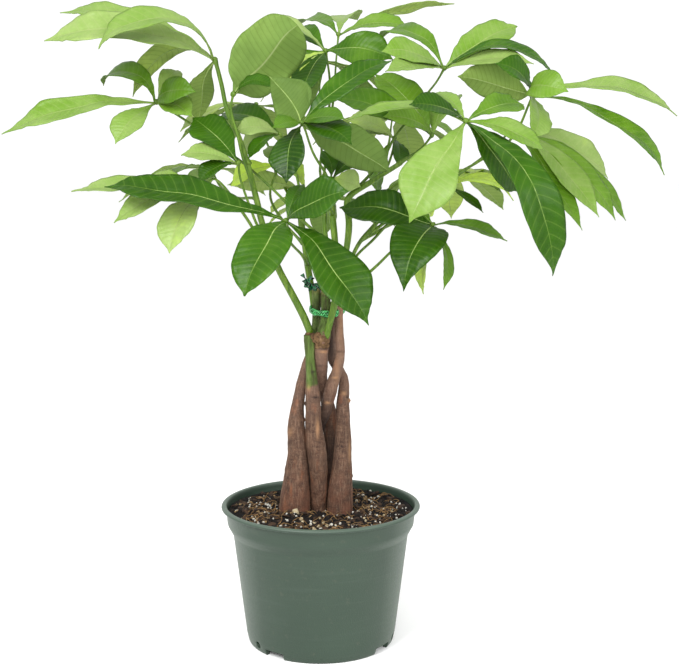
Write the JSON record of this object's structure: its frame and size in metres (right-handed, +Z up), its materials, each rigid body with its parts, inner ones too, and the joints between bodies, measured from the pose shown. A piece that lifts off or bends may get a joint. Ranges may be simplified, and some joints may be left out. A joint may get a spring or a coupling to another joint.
{
  "type": "potted money tree",
  "caption": "Braided money tree with palmate green leaves on long stalks, tied at the top of the braid, standing in potting soil in a footed plastic nursery pot.",
  "frame": {"origin": "on the floor, under the middle of the whole tree's bounding box; the pot's axis stands 12 mm to -X and 32 mm to -Y of it", "axes": "+Z up, -Y towards the front as pictured, +X to the right of the front view"},
  "size_m": [0.553, 0.3538, 0.5517],
  "materials": {
    "pot": "satin",
    "soil": "matte",
    "bark": "matte",
    "leaf": "satin",
    "tie": "gloss",
    "foil": "gloss"
  },
  "bodies": {
    "root": {"pot": "pot", "soil": "soil", "trunk_left": "bark", "trunk_centre_left": "bark", "trunk_centre": "bark", "trunk_back": "bark", "trunk_right": "bark", "shoot_left": "leaf", "shoot_centre_left": "leaf", "shoot_top": "leaf", "shoot_centre": "leaf", "shoot_right": "leaf", "shoot_right_low": "leaf", "band_tie": "tie", "twist_tie": "foil"}
  },
  "joints": []
}
